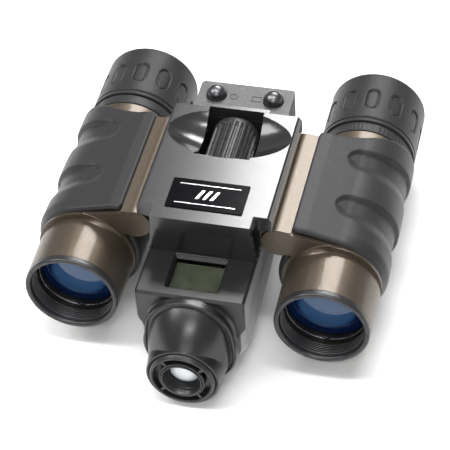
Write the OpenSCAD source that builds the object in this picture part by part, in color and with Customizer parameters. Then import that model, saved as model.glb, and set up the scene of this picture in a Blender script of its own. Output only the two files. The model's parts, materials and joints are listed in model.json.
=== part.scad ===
// Compact double-hinge binoculars with a digital camera module between the barrels.
// Drawn in the optics frame: X to the right, Y from the objectives to the eyepieces, Z up,
// with Y = 0 at the front of the objective rings and Z = 0 at the height of the optical axes.
// place() then moves every part into the row frame, whose origin is the bottom centre of the box.

/* [Barrels] */
// Distance between the two optical axes with the barrels fully open
axis_gap = 71; // [70.6:0.2:72]
// Outer radius of the objective tube
tube_r = 13.6; // [13.5:0.05:13.8]
// Outer radius of the rubber armour
armour_r = 15.6; // [15.4:0.05:15.7]
// Length from the objective ring to the back of the armour's inner edge
armour_back_y = 58.5; // [57.5:0.5:59]
// Angle of the barrel fold, open to closed
fold_angle = 0; // [0:1:16]

/* [Eyepieces] */
// Outer radius of the eyecup at its front edge
eyecup_r = 14.3; // [14.1:0.05:14.5]
// Back end of the eyecup
eyecup_back_y = 93; // [92:0.5:95]
// Number of grip windows round the eyecup
grip_windows = 12; // [8:1:14]

/* [Bridge and cover] */
// Half width of the top cover
cover_half_w = 18.3; // [18:0.1:18.5]
// Height of the top cover above the optical axes
cover_top_z = 24; // [23.6:0.1:24.4]
// Depth of the finger scoop
scoop_depth = 5.5; // [4.5:0.25:6]
// Radius of the focus wheel
wheel_r = 6.6; // [6.2:0.1:6.8]
// Number of grooves round the focus wheel
wheel_grooves = 24; // [18:1:28]

/* [Camera module] */
// Half width of the module at its front edge
module_half_w = 15.3; // [15.1:0.1:15.4]
// Wall thickness of the module's shells
wall = 1.3; // [1.1:0.1:1.5]
// Outer radius of the lens hood's lip
lip_r = 10.3; // [10.1:0.1:10.5]
// Depth of the display recess
display_depth = 2.7; // [2.3:0.1:3]

/* [Hidden] */
$fn = 64;
eps = 0.01;
run = 0.05;                     // radial clearance of a running fit
gap = 0.3;                      // clearance between parts that pass each other

axis_x = axis_gap / 2;          // optical axis of the right barrel
shift_x = axis_x - 0.2;         // centre of the armour's round section
shift_z = 1.2;
skin = 1.5;                     // thickness of the armour
core_r = armour_r - skin - 0.05;
armour_edge_x = 24.1;           // inner edge of the armour, beside the hinge web
web_z = 9.8;                    // underside of the hinge web
dimple_y = [32.5, 53];
dimple_round_r = 9;
bore_r = 12.4;                  // bore of the barrel housing

hinge_x = 20.5;                 // hinge axis of the right barrel
hinge_z = 14.2;
pin_r = 1.6;
lobe_r = 4.7;
knuckle_r = 3.8;
wing_y0 = 16.5;
wing_y1 = 57;
knuckle_y0 = 32;
knuckle_y1 = 44;
collar_y0 = 19.4;               // drive collar of the objective cell on the hinge pin
collar_y1 = 23.6;
focus_travel = 1.2;
pocket_y0 = collar_y0 - focus_travel - gap;
pocket_y1 = collar_y1 + focus_travel + gap;

wheel_z = cover_top_z - 1.2 - wheel_r;
wheel_y0 = 38;
wheel_y1 = 57.4;
shaft_r = 1.5;
nut_y = (collar_y0 + collar_y1) / 2;
fork_t = 1.5;

frame_y0 = 17;
frame_y1 = 57.6;
deck_y1 = 73.3;
deck_half_w = 14;
deck_z = 20.3;
button_x = 8.5;
button_y = 67.6;
button_r = 3;
travel = 0.8;

module_top_z = 10.3;
roof_z = 8.9;                   // underside of the deck and of the bridge floor
seam_z = -0.4;                  // seam between the side strips and the bottom cover
module_front_y = -4.7;
module_tail_half_w = 14.3;
flat_bottom_z = -8.6;
belly_z = -15;
dome_y = -11.6;                 // widest ring of the hood's dome
dome_z = -5.9;
dome_r = 11.4;
flange_y = -7.2;                // front face of the flange
flange_top_z = -1.7;            // the flange is an upright oval between two circles
flange_top_r = 12.4;
flange_low_z = -7.1;
flange_low_r = 13.2;
seam_y = -3.6;                  // seam between the dark front and the light panels
lens_z = -9.5;
flange_bore_z = -5.2;
flange_bore_r = 10.6;
lip_y = -16.2;
lens_tip_y = -17.5;             // front edge of the camera lens barrel
display_y0 = -0.2;
display_y1 = 9.8;

// The underside slopes from the belly up to the rear end; the battery door lies in that slope and
// is drawn along it, with Y = 0 at the rear end and Z = 0 on the underside
belly_y = 14.5;
slope = atan2(flat_bottom_z - belly_z, deck_y1 - belly_y);
door_half_w = 11.4;
door_front = -43;
door_axis = [-3.5, 1.2];
port_axis = [deck_y1 + 0.55, 1.6];
battery_r = 5.25;
battery_x = 5.6;
battery_z = -1.4;
tripod_y = 14;
tripod_r = 3.175;               // 1/4-20 thread

rest_z = flange_low_z - flange_low_r;   // lowest point, under the flange of the lens hood
mid_y = (eyecup_back_y + lens_tip_y) / 2;

rubber = "#4a4a4c";
bronze = "#6b5d4c";
dark = "#2a2a2c";
steel = "silver";
glass = "#9fc4e8";
panel_grey = "#a4a4a6";
board_green = "#2c5a3c";
brass = "#b5a36a";

module place() translate([0, -mid_y, -rest_z]) children();

module along_y(x, y, z) translate([x, y, z]) rotate([-90, 0, 0]) children();

module rod(x, z, y0, y1, r) along_y(x, y0, z) cylinder(r = r, h = y1 - y0);

module tube(x, z, y0, y1, r_out, r_in) difference() {
    rod(x, z, y0, y1, r_out);
    rod(x, z, y0 - eps, y1 + eps, r_in);
}

module block(x0, x1, y0, y1, z0, z1) translate([x0, y0, z0]) cube([x1 - x0, y1 - y0, z1 - z0]);

module rod_x(x0, x1, y, z, r) translate([x0, y, z]) rotate([0, 90, 0]) cylinder(r = r, h = x1 - x0);

// An outline in the XZ plane, swept from y0 to y1
module sweep_y(y0, y1) translate([0, y1, 0]) rotate([90, 0, 0]) linear_extrude(y1 - y0) children();

// An outline in the YZ plane, swept from x0 to x1
module sweep_x(x0, x1) translate([x0, 0, 0]) rotate([90, 0, 90]) linear_extrude(x1 - x0) children();

// A right-hand barrel part, folded about the hinge and mirrored for the left side
module side(s) mirror([s < 0 ? 1 : 0, 0, 0])
    translate([hinge_x, 0, hinge_z]) rotate([0, fold_angle, 0]) translate([-hinge_x, 0, -hinge_z])
        children();

// ---------------------------------------------------------------- barrel parts (right side)

// Section of the barrel's shoulder: a round core with a flat-topped web to the hinge
module shoulder_outline() {
    translate([shift_x, shift_z]) circle(r = core_r);
    polygon([[hinge_x - 0.4, 18.85], [armour_edge_x - 0.05, 18.5], [armour_edge_x - 0.05, 17.8],
        [28.2, 16.8], [shift_x + 1.5, shift_z + core_r - 0.08], [shift_x, shift_z], [24.6, web_z],
        [18.6, web_z]]);
    translate([hinge_x, hinge_z]) circle(r = lobe_r);
}

module armour_outline() {
    translate([shift_x, shift_z]) circle(r = armour_r);
    polygon([[armour_edge_x, 19.5], [28.2, 18.4], [shift_x + 2, shift_z + armour_r - 0.12],
        [shift_x, shift_z], [armour_edge_x, web_z]]);
}

module housing() {
    difference() {
        union() {
            along_y(axis_x, 2, 0) rotate_extrude()
                polygon([[0, 0], [tube_r - 0.2, 0], [tube_r, 10], [tube_r, 20], [0, 20]]);
            sweep_y(wing_y0, wing_y1) shoulder_outline();
            rod(axis_x, 0, wing_y1 - 1, 66.4, 13.95);
        }
        rod(axis_x, 0, 0, 70, bore_r);
        rod(hinge_x, hinge_z, wing_y0 + 1.4, wing_y1 - 1.2, pin_r + run);
        rod(hinge_x, hinge_z, pocket_y0, pocket_y1, knuckle_r + gap);
        rod(hinge_x, hinge_z, knuckle_y0 - gap, knuckle_y1 + gap, knuckle_r + gap);
        block(12, hinge_x, pocket_y0, pocket_y1, hinge_z - 4.2, hinge_z + 3.2);
        block(12, hinge_x, knuckle_y0 - gap, knuckle_y1 + gap, 5, 18.3);
        arm_slot();
    }
}

// Slot from the bore to the hinge pocket, for the arm of the objective cell
module arm_slot() translate([hinge_x, 0, hinge_z]) rotate([0, atan2(hinge_z, axis_x - hinge_x), 0])
    block(0, 12, pocket_y0, pocket_y1, -2.2, 2.2);

module armour() difference() {
    sweep_y(17.6, 68.4) armour_outline();
    sweep_y(17, 69) shoulder_outline();
    rod(axis_x, 0, 17, 69, 14);
    block(10, armour_edge_x + 0.5, pocket_y0, pocket_y1, web_z - 1.6, web_z + 0.1);
    block(10, armour_edge_x, 17, 69, web_z - 0.05, 22);
    block(0, 30, armour_back_y, 80, -30, 30);
    translate([30, armour_back_y, 0]) rotate([0, 0, 24]) block(0, 40, 0, 30, -30, 30);
    for (y = dimple_y) finger_dimple(y);
}

// Groove round the outer side of the armour, deepest outside and run out at the top
module finger_dimple(y) intersection() {
    along_y(shift_x - 0.94, y, shift_z + 0.08) rotate_extrude()
        translate([armour_r - 0.16 + dimple_round_r, 0]) circle(r = dimple_round_r, $fn = 48);
    block(shift_x - 1, 70, 10, 80, -40, 40);
}

module objective_ring() along_y(axis_x, 0, 0) difference() {
    rotate_extrude() polygon([[11.8, 0.5], [12.3, 0], [13.0, 0], [13.39, 0.4], [13.39, 2],
        [bore_r - 0.05, 2], [bore_r - 0.05, 5], [11.5, 5], [11.5, 1.2]]);
}

module objective_cell() difference() {
    union() {
        tube(axis_x, 0, 6.4, 24, bore_r - 0.07, 10.4);
        rod(hinge_x, hinge_z, collar_y0, collar_y1, knuckle_r - 0.1);
        translate([hinge_x, 0, hinge_z]) rotate([0, atan2(hinge_z, axis_x - hinge_x), 0])
            block(2, 9.4, collar_y0, collar_y1, -1.8, 1.8);
    }
    rod(axis_x, 0, 6, 11.75, 11.66);
    rod(axis_x, 0, 11, 25, 10.4);
    rod(hinge_x, hinge_z, collar_y0 - 1, collar_y1 + 1, pin_r + run);
    difference() {
        tube(hinge_x, hinge_z, nut_y - fork_t / 2 - 0.15, nut_y + fork_t / 2 + 0.15, 5, 2.5);
        translate([hinge_x, 0, hinge_z]) rotate([0, atan2(hinge_z, axis_x - hinge_x), 0])
            block(2.2, 12, 0, 40, -1.8, 1.8);
    }
}

module retaining_ring() along_y(axis_x, 6.7, 0) rotate_extrude()
    polygon([[10.95, 0.5], [11.2, 0], [11.62, 0], [11.62, 1], [10.95, 1]]);

// Biconvex lens revolved from the overlap of two arcs; the edge may be cut flat at the front
module lens(y0, edge, r, sag, y_min) {
    face_r = (r * r + sag * sag) / (2 * sag);
    along_y(axis_x, 0, 0) rotate_extrude() intersection() {
        translate([0, y0 + edge + sag - face_r]) circle(r = face_r, $fn = 720);
        translate([0, y0 - sag + face_r]) circle(r = face_r, $fn = 720);
        translate([0, y_min]) square([r, edge + 2 * sag]);
    }
}

module prism_cage() difference() {
    rod(axis_x, 0, 30, 55, bore_r - 0.02);
    rod(axis_x, 0, 29, 32.5, 9.5);
    rod(axis_x, 0, 52, 56, 8.5);
    block(axis_x - 7.2, axis_x + 7.2, 32, 53, -7.6, 7.6);
}

// Two prisms with a thin air gap; the second carries the roof edge
module roof_prisms() {
    sweep_x(axis_x - 7, axis_x + 7) polygon([[32.6, -7.4], [32.6, 7.4], [38, 7.4], [44, -7.4]]);
    intersection() {
        sweep_x(axis_x - 7, axis_x + 7) polygon([[38.5, 7.4], [52, 7.4], [52, -7.4], [44.5, -7.4]]);
        translate([axis_x, 0, 7.1]) rotate([0, -45, 0]) block(-22, 0, 30, 60, -22, 0);
    }
}

module eyepiece_tube() difference() {
    union() {
        rod(axis_x, 0, 55.2, 70.6, bore_r - 0.02);
        rod(axis_x, 0, 70, 85, 12.1);
    }
    rod(axis_x, 0, 54, 86, 10.02);
}

module eyepiece_ring() tube(axis_x, 0, 67, 70.4, 13.9, bore_r + 0.04);

module diopter_ring() difference() {
    eyepiece_ring();
    rod(axis_x + 10.2, 9.7, 66, 67.5, 0.5);
}

module ocular_cell() difference() {
    rod(axis_x, 0, 57, 83, 9.97);
    rod(axis_x, 0, 60, 80, 8.2);
    rod(axis_x, 0, 56, 61, 8.8);
    rod(axis_x, 0, 78.4, 84, 8.8);
}

module ocular_lenses() {
    lens(57.9, 1.6, 8.78, 0.8, 57);
    lens(79.4, 1.6, 8.78, 0.9, 78.4);
}

module eyecup_carrier() tube(axis_x, 0, 72.4, 85, 12.85, 12.1 + run);

module eyecup() difference() {
    along_y(axis_x, 0, 0) rotate_extrude() polygon(concat(
        [[12.9, 70.9], [eyecup_r - 0.3, 70.9], [eyecup_r, 71.2], [eyecup_r, 72.2], [eyecup_r - 0.25, 72.5],
            [eyecup_r, 72.8]],
        [for (a = [0:15:90]) [eyecup_r - 1.35 + cos(a), eyecup_back_y - 1 + sin(a)]],
        [for (a = [90:15:180]) [eyecup_r - 1.75 + 0.6 * cos(a), eyecup_back_y - 0.6 + 0.6 * sin(a)]],
        [[9.6, 86.4], [9.6, 85.3], [12.9, 85.3]]));
    for (i = [0:grip_windows - 1]) rotate_about_axis(i * 360 / grip_windows) grip_window();
}

module rotate_about_axis(a) translate([axis_x, 0, 0]) rotate([0, a, 0]) translate([-axis_x, 0, 0]) children();

// Round-ended recess with a low raised pad inside it
module grip_window() translate([axis_x, 0, 0]) difference() {
    window_prism(2.05, 13.4, 16);
    window_prism(1.45, 13, 13.85);
}

module window_prism(r, z0, z1) {
    for (y = [78.6, 83.2]) translate([0, y, z0]) cylinder(r = r, h = z1 - z0, $fn = 24);
    block(-r, r, 78.6, 83.2, z0, z1);
}

// ---------------------------------------------------------------- bridge, cover and focusing

// The finger scoop is a spindle that lies across the cover, above its top face
module scoop(extra) {
    half_x = 18;
    half_y = 10.3;
    ring_r = (half_y * half_y + scoop_depth * scoop_depth) / (2 * scoop_depth);
    arc_r = (half_x * half_x + scoop_depth * scoop_depth) / (2 * scoop_depth);
    translate([0, 47.5, cover_top_z + ring_r - scoop_depth]) rotate([0, 90, 0]) rotate_extrude($fn = 96)
        intersection() {
            translate([ring_r - arc_r, 0]) circle(r = arc_r + extra, $fn = 160);
            translate([0, -half_x - 1]) square([ring_r + extra + 1, 2 * half_x + 2]);
        }
}

module wheel_well(y0, y1, extra) block(-8 - extra, 8 + extra, y0, y1, wheel_z - wheel_r - 0.2, 40);

module frame_outline() polygon([[-18, 17.4], [-15.4, 17.4], [-15.4, 12], [-14.2, roof_z],
    [14.2, roof_z], [15.4, 12], [15.4, 17.4], [18, 17.4], [18, 20.4], [-18, 20.4]]);

module bridge_frame() color(dark) place() difference() {
    union() {
        difference() {
            union() {
                sweep_y(frame_y0, frame_y1) frame_outline();
                block(-9.2, 9.2, frame_y1 - 1, 58.6, roof_z, 20.4);
            }
            for (s = [-1, 1]) rod(s * hinge_x, hinge_z, 0, 80, lobe_r + gap);
            block(-13, 13, 18.4, 27, 10.2, 30);
            block(-14, 14, 29, 31.2, 10.2, 30);
            wheel_well(wheel_y0 - 0.8, 58, 0.4);
            block(-19, 19, 35, 58, 17, 30);
        }
        for (s = [-1, 1]) knuckle(s);
    }
    for (s = [-1, 1]) {
        rod(s * hinge_x, hinge_z, 0, 80, pin_r);
        block(s * 17 - 4.2, s * 17 + 4.2, collar_y0 - 1.3, collar_y1 + 1.3, 12.2, 16.2);
    }
    rod(0, wheel_z, 10, 80, shaft_r + run);
    for (s = [-1, 1], y = [28, 33.2]) translate([s * 12, y, 12]) cylinder(r = 0.8, h = 20, $fn = 24);
}

module knuckle(s) {
    rod(s * hinge_x, hinge_z, knuckle_y0, knuckle_y1, knuckle_r);
    block(s * 17.2 - 2, s * 17.2 + 2, knuckle_y0, knuckle_y1, hinge_z - 1.7, hinge_z + 1.7);
}

module cover_outline() polygon([[-cover_half_w - 0.7, 19.2], [-cover_half_w - 0.7, cover_top_z - 1.4],
    [-cover_half_w, cover_top_z - 0.3], [-cover_half_w + 0.5, cover_top_z], [cover_half_w - 0.5, cover_top_z],
    [cover_half_w, cover_top_z - 0.3], [cover_half_w + 0.7, cover_top_z - 1.4], [cover_half_w + 0.7, 19.2]]);

// Plan of the cover, with its narrow nose in front and its tab behind
module cover_plan() {
    translate([-30, 15.6]) square([60, 42.4]);
    translate([-9.4, 50]) square([18.8, 9.4]);
    translate([-14, 10.8]) square([28, 6]);
}

module top_cover() color(dark) place() difference() {
    union() {
        difference() {
            intersection() {
                sweep_y(5, 65) cover_outline();
                translate([0, 0, 15]) linear_extrude(20) cover_plan();
            }
            block(-18.2, 18.2, 16.8, 58.7, 5, 20.6);
            block(-17, 17, 16.8, 56.6, 5, cover_top_z - 1.8);
            block(-12.6, 12.6, 12.2, 18, 5, cover_top_z - 1.8);
        }
        intersection() {
            scoop(1.4);
            block(-17, 17, 36, 59.4, 10, cover_top_z - 0.5);
            block(-20, 20, 36, 57.8, 10, cover_top_z - 0.5);
        }
        nose();
    }
    scoop(0);
    wheel_well(37.6, 58.1, 0);
}

// Front apron of the cover, down to the module's deck
module nose() difference() {
    hull() {
        block(-13.9, 13.9, 10.8, 12.2, 22, 23.4);
        block(-15.2, 15.2, 11.9, 13.3, module_top_z, module_top_z + 1);
    }
    block(-30, 30, 12.9, 20, 19, 30);
}

module badge_plate() color("black") place() block(-10.9, 10.9, 15.3, 26.9, cover_top_z, cover_top_z + 0.35);

module focus_wheel() color(rubber) place() difference() {
    along_y(0, wheel_y0, wheel_z) rotate_extrude() polygon(concat(
        [[shaft_r, 0], [wheel_r - 0.4, 0], [wheel_r, 0.4]],
        [for (a = [0:18:90]) [wheel_r - 1.4 + 1.4 * cos(a), wheel_y1 - wheel_y0 - 2.2 + 2.2 * sin(a)]],
        [[shaft_r, wheel_y1 - wheel_y0]]));
    for (i = [0:wheel_grooves - 1]) translate([0, 0, wheel_z]) rotate([0, i * 360 / wheel_grooves, 0])
        rod(0, wheel_r + 0.12, wheel_y0 - 1, wheel_y1 - 2.6, 0.5, $fn = 16);
}

// Shaft of the wheel; its front end is the lead screw of the focus carriage
module focus_shaft() color(steel) place() rod(0, wheel_z, 17.4, 59, shaft_r);

module focus_carriage() color(brass) place() difference() {
    union() {
        rod(0, wheel_z, nut_y - 1.6, nut_y + 1.6, 3.2);
        block(-2.5, 2.5, nut_y - fork_t / 2, nut_y + fork_t / 2, hinge_z - 1, wheel_z);
        block(-hinge_x + 0.6, hinge_x - 0.6, nut_y - fork_t / 2, nut_y + fork_t / 2,
            hinge_z - 1.5, hinge_z + 1.5);
    }
    rod(0, wheel_z, 10, 40, shaft_r + run);
    for (s = [-1, 1]) rod(s * hinge_x, hinge_z, 10, 40, 2.7);
}

module hinge_pins() color(steel) place()
    for (s = [-1, 1]) rod(s * hinge_x, hinge_z, wing_y0 + 1.6, wing_y1 - 1.4, pin_r);

// ---------------------------------------------------------------- camera module

// Upright oval plate between the two flange circles
module flange_oval(y0, y1) {
    rod(0, flange_top_z, y0, y1, flange_top_r);
    rod(0, flange_low_z, y0, y1, flange_low_r);
    block(-flange_top_r, flange_top_r, y0, y1, flange_low_z, flange_top_z);
}

// Solid of the module, shrunk by t on every side: a front box, a belly that narrows to the
// flange, and a tapering tail under the bridge
module module_solid(t) {
    w = module_half_w - t;
    tail_w = module_tail_half_w - t;
    hull() {
        block(-w, w, module_front_y + 1 + t, 17, 0, module_top_z - t - 0.6);
        block(-w + 0.7, w - 0.7, module_front_y + 0.6 + t, 17, 0, module_top_z - t);
        block(-w + 0.6, w - 0.6, module_front_y + t, 17, 0, module_top_z - t - 0.8);
        block(-w + 2.6, w - 2.6, module_front_y + t, 17, -4.5, 0);
    }
    hull() {
        rod(0, flange_top_z, flange_y + 1.4 + t, flange_y + 1.9 + t, flange_top_r - 0.4 - t, $fn = 48);
        rod(0, flange_low_z, flange_y + 1.4 + t, flange_y + 1.9 + t, flange_low_r - 0.4 - t, $fn = 48);
        block(-w, w, 0, 17, -9.5, 5);
        block(-w + 3.4 + t / 2, w - 3.4 - t / 2, 2, belly_y, belly_z + t, 5);
        block(-w + 0.9, w - 0.9, 1, 15.5, belly_z + 2.2 + t, 5);
    }
    hull() {
        block(-w, w, 15.5, 17, -9.5, module_top_z - t);
        block(-w + 3.4 + t / 2, w - 3.4 - t / 2, 13.5, belly_y, belly_z + t, 5);
        block(-w + 0.9, w - 0.9, 14.5, 15.5, belly_z + 2.2 + t, 5);
        block(-tail_w, tail_w, 29, deck_y1 - t, flat_bottom_z + 2, module_top_z - t);
        block(-tail_w + 2, tail_w - 2, 29, deck_y1 - t, flat_bottom_z + t, module_top_z - t);
    }
}

module on_slope() translate([0, deck_y1, flat_bottom_z]) rotate([slope, 0, 0]) children();

// Everything in front of the seam that separates the dark front from the light side panels
module front_zone(back) block(-40, 40, -40, seam_y + back, -40, 40);

module camera_shell() color(dark) place() difference() {
    intersection() {
        difference() {
            union() {
                module_solid(0);
                flange_oval(flange_y, flange_y + 1.6);
            }
            module_solid_inner();
        }
        union() {
            front_zone(0);
            block(-40, 40, -10, frame_y0 - 0.02, roof_z, 20);
        }
    }
    rod(0, flange_bore_z, -20, 2, flange_bore_r);
    display_recess();
    block(-20, 20, 12, 18, module_top_z, 30);
}

// The cavity is one plain box, a belly and a tail, clear of the outer skin by the wall
module module_solid_inner() {
    module_solid(wall);
    block(-module_half_w + wall, module_half_w - wall, 0, 25, -4, roof_z);
    block(-module_tail_half_w + wall, module_tail_half_w - wall, 20, deck_y1 - wall,
        flat_bottom_z + wall + 1, 12);
}

module display_recess() {
    hull() {
        block(-7.7, 7.7, -1.8, 11.4, module_top_z, module_top_z + 0.1);
        block(-6, 6, display_y0, display_y1, module_top_z - display_depth, module_top_z);
    }
}

module lcd_window() color("#5c6650") place() block(-6.9, 6.9, display_y0 - 0.7, display_y1 + 0.7,
    module_top_z - display_depth - 1, module_top_z - display_depth - 0.02);

module lcd_panel() color("#3f4638") place() block(-7.4, 7.4, display_y0 - 1.2, display_y1 + 1.2,
    module_top_z - display_depth - 3, module_top_z - display_depth - 1.02);

// Light upper side strip, from the front seam to the bridge
module side_panel(s) difference() {
    intersection() {
        module_solid(0);
        block(s > 0 ? 5 : -40, s > 0 ? 40 : -5, -20, frame_y1 - 0.1, seam_z + 0.1, roof_z - 0.02);
    }
    module_solid_inner();
    front_zone(0.05);
}

module bottom_cover() color(panel_grey) place() difference() {
    union() {
        difference() {
            intersection() {
                module_solid(0);
                union() {
                    block(-40, 40, -20, 80, -30, seam_z);
                    block(-40, 40, frame_y1, 80, -30, module_top_z);
                }
            }
            module_solid_inner();
            front_zone(0.05);
        }
        translate([0, tripod_y, belly_z]) cylinder(r = 6.4, h = 7);
        on_slope() for (s = [-1, 1]) block(s * 12.3 - 0.6, s * 12.3 + 0.6, door_axis[0] - 1.4,
            door_axis[0] + 1.4, door_axis[1] - 1, door_axis[1] + 1.4);
    }
    on_slope() rod_x(-12.6, 12.6, door_axis[0], door_axis[1], 0.65);
    translate([0, tripod_y, -20]) cylinder(r = 4.5, h = 20);
    on_slope() block(-door_half_w - 0.2, door_half_w + 0.2, door_front - 0.3, door_axis[0] + 1.6, -2,
        wall + 1.3);
    block(-4.4, 4.4, 70, 80, 2.2, 6);
}

// Battery door, hinged at its rear edge
module battery_door() color(panel_grey) place() on_slope() {
    block(-door_half_w, door_half_w, door_front, door_axis[0], 0, wall);
    rod_x(-door_half_w, door_half_w, door_axis[0], door_axis[1], 1.1);
    rod_x(-12.4, 12.4, door_axis[0], door_axis[1], 0.6);
    block(-3, 3, door_front + 0.2, door_front + 1.4, 0, 2.2);
}

module batteries() color("goldenrod") place() for (s = [-1, 1]) {
    rod(s * battery_x, battery_z, 22.6, 66.2, battery_r);
    rod(s * battery_x, battery_z, s > 0 ? 66.2 : 21.8, s > 0 ? 67 : 22.6, 1.9);
}

module battery_contacts() color(steel) place() {
    for (y = [20.6, 67.6]) block(-10, 10, y, y + 0.5, battery_z - 4, battery_z + 3.6);
    for (s = [-1, 1]) along_y(s * battery_x, s > 0 ? 21.1 : 66.25, battery_z)
        cylinder(r1 = s > 0 ? 3.4 : 1.6, r2 = s > 0 ? 1.6 : 3.4, h = s > 0 ? 1.45 : 1.35);
}

module tripod_bushing() color(brass) place() difference() {
    translate([0, tripod_y, belly_z]) cylinder(r = 4.5, h = 8);
    translate([0, tripod_y, belly_z - 1]) cylinder(r = tripod_r, h = 7.8);
}

module cover_screws() color(steel) place() for (s = [-1, 1], y = [28, 33.2]) translate([s * 12, y, 12.5]) {
    cylinder(r = 0.8, h = 7.9, $fn = 24);
    translate([0, 0, 7.9]) cylinder(r = 1.4, h = 0.9, $fn = 24);
}

module circuit_board() color(board_green) place() {
    block(-12.4, 12.4, 16, 64, 4.6, 5.8);
    block(-5, 5, 26, 36, 5.8, 7);
    block(4, 10, 42, 50, 5.8, 6.9);
    block(-9, -3, 44, 51, 5.8, 6.8);
}

module image_sensor() color(board_green) place() {
    block(-7, 7, -3.2, -2.2, lens_z - 4.4, lens_z + 6.5);
    block(-3.4, 3.4, -3.9, -3.2, lens_z - 2.6, lens_z + 2.6);
}

// Domed hood that droops from the flange to the lens lip
module lens_hood() color(dark) place() difference() {
    hull() {
        rod(0, flange_top_z - 0.2, flange_y - 0.9, flange_y, flange_top_r - 0.9, $fn = 48);
        rod(0, flange_low_z, flange_y - 0.9, flange_y, flange_low_r - 1.5, $fn = 48);
        rod(0, dome_z, dome_y, dome_y + 0.5, dome_r, $fn = 48);
        rod(0, lens_z, lip_y, dome_y, lip_r, $fn = 48);
    }
    rod(0, lens_z, -30, -14.2, 9.4);
    rod(0, lens_z, -14.3, 0, 6.2);
}

module lens_spider_ring() color(dark) place() difference() {
    union() {
        tube(0, lens_z, -17, -15.6, 9.3, 8.1);
        tube(0, lens_z, -17.4, -15.9, 6.6, 5.9);
        for (a = [30:90:300]) translate([0, 0, lens_z]) rotate([0, a, 0])
            block(6.2, 8.4, -16.9, -16.1, -0.45, 0.45);
        tube(0, lens_z, -15.6, -14.4, 9.3, 6.65);
    }
    rod(0, lens_z, -30, 0, 5.9);
}

module camera_lens_barrel() color(dark) place() along_y(0, 0, lens_z) rotate_extrude()
    polygon([[5.5, lens_tip_y], [5.85, lens_tip_y], [5.85, -14.35], [4.9, -14.2], [4.9, -4.4],
        [3.6, -4.4], [3.6, -11], [4.1, -11], [4.1, -13.4], [5.3, -17]]);

module camera_lens() color(glass) place() intersection() {
    rod(0, lens_z, -14.8, -11.05, 4.05);
    translate([0, -7.5, lens_z]) sphere(r = 7.2, $fn = 96);
}

// ---------------------------------------------------------------- rear deck and its controls

module rear_deck() color("#77777a") place() difference() {
    intersection() {
        block(-deck_half_w, deck_half_w, frame_y1 + 0.1, deck_y1, module_top_z, deck_z);
        translate([0, 0, 5]) linear_extrude(30) deck_plan();
    }
    block(-deck_half_w + wall, deck_half_w - wall, frame_y1 + 0.1 + wall, deck_y1 - wall, 5, deck_z - wall);
    block(-9.5, 9.5, 50, 59.5, 5, 30);
    for (s = [-1, 1]) translate([s * button_x, button_y, 10]) cylinder(r = button_r + 0.08, h = 20);
}

module deck_plan() {
    translate([-deck_half_w, frame_y1]) square([2 * deck_half_w, deck_y1 - frame_y1 - 1.2]);
    translate([-deck_half_w + 1.2, frame_y1]) square([2 * deck_half_w - 2.4, deck_y1 - frame_y1]);
    for (s = [-1, 1]) translate([s * (deck_half_w - 1.2), deck_y1 - 1.2]) circle(r = 1.2);
}

module button(s) {
    translate([s * button_x, button_y, 0]) {
        translate([0, 0, deck_z - 0.6]) cylinder(r = button_r, h = 1);
        translate([0, 0, deck_z + 0.4]) intersection() {
            sphere(r = button_r);
            cylinder(r = button_r, h = 5);
        }
        translate([0, 0, 17]) cylinder(r = 1.2, h = deck_z - 17.6);
        translate([0, 0, deck_z - wall - 0.6]) cylinder(r = button_r + 0.7, h = 0.5);
    }
}

module switch_board() color(board_green) place() {
    block(-12.5, 12.5, 61, 71.4, 13, 14.2);
    for (s = [-1, 1]) block(s * 11.8 - 0.7, s * 11.8 + 0.7, 63, 70, module_top_z - 1, 13);
}

module tact_switches() color(steel) place() for (s = [-1, 1]) {
    block(s * button_x - 2.2, s * button_x + 2.2, button_y - 2.2, button_y + 2.2, 14.2, 15.7);
    translate([s * button_x, button_y, 15.7]) cylinder(r = 1, h = 0.45);
}

module usb_socket() color(steel) place() difference() {
    block(-3.9, 3.9, 66.4, 71.9, 2.4, 5.8);
    block(-3.4, 3.4, 67.4, 74, 2.9, 5.3);
    block(-5, 5, 60, 67.2, 0, 4.4);
}

// Rubber flap over the socket, hinged along its lower edge
module port_cover() color(rubber) place() {
    block(-4.2, 4.2, deck_y1 - 1.1, deck_y1 + 0.2, 2.6, 5.6);
    block(-5.2, 5.2, deck_y1 + 0.2, deck_y1 + 0.9, port_axis[1], 6.6);
    rod_x(-5.2, 5.2, port_axis[0], port_axis[1], 0.35);
}

// ---------------------------------------------------------------- nodes

module left_housing() color(bronze) place() side(-1) housing();
module right_housing() color(bronze) place() side(1) housing();
module left_armour() color(rubber) place() side(-1) armour();
module right_armour() color(rubber) place() side(1) armour();
module left_objective_ring() color(dark) place() side(-1) objective_ring();
module right_objective_ring() color(dark) place() side(1) objective_ring();
module left_objective_cell() color(dark) place() side(-1) objective_cell();
module right_objective_cell() color(dark) place() side(1) objective_cell();
module left_retaining_ring() color(steel) place() side(-1) retaining_ring();
module right_retaining_ring() color(steel) place() side(1) retaining_ring();
module left_objective_lens() color(glass) place() side(-1) lens(9.2, 2.2, 11.62, 1.4, 7.75);
module right_objective_lens() color(glass) place() side(1) lens(9.2, 2.2, 11.62, 1.4, 7.75);
module left_prism_cage() color(dark) place() side(-1) prism_cage();
module right_prism_cage() color(dark) place() side(1) prism_cage();
module left_roof_prisms() color(glass) place() side(-1) roof_prisms();
module right_roof_prisms() color(glass) place() side(1) roof_prisms();
module left_eyepiece_tube() color(dark) place() side(-1) eyepiece_tube();
module right_eyepiece_tube() color(dark) place() side(1) eyepiece_tube();
module left_eyepiece_ring() color(rubber) place() side(-1) eyepiece_ring();
module right_diopter_ring() color(rubber) place() side(1) diopter_ring();
module left_ocular_cell() color(dark) place() side(-1) ocular_cell();
module right_ocular_cell() color(dark) place() side(1) ocular_cell();
module left_ocular_lenses() color(glass) place() side(-1) ocular_lenses();
module right_ocular_lenses() color(glass) place() side(1) ocular_lenses();
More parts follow.
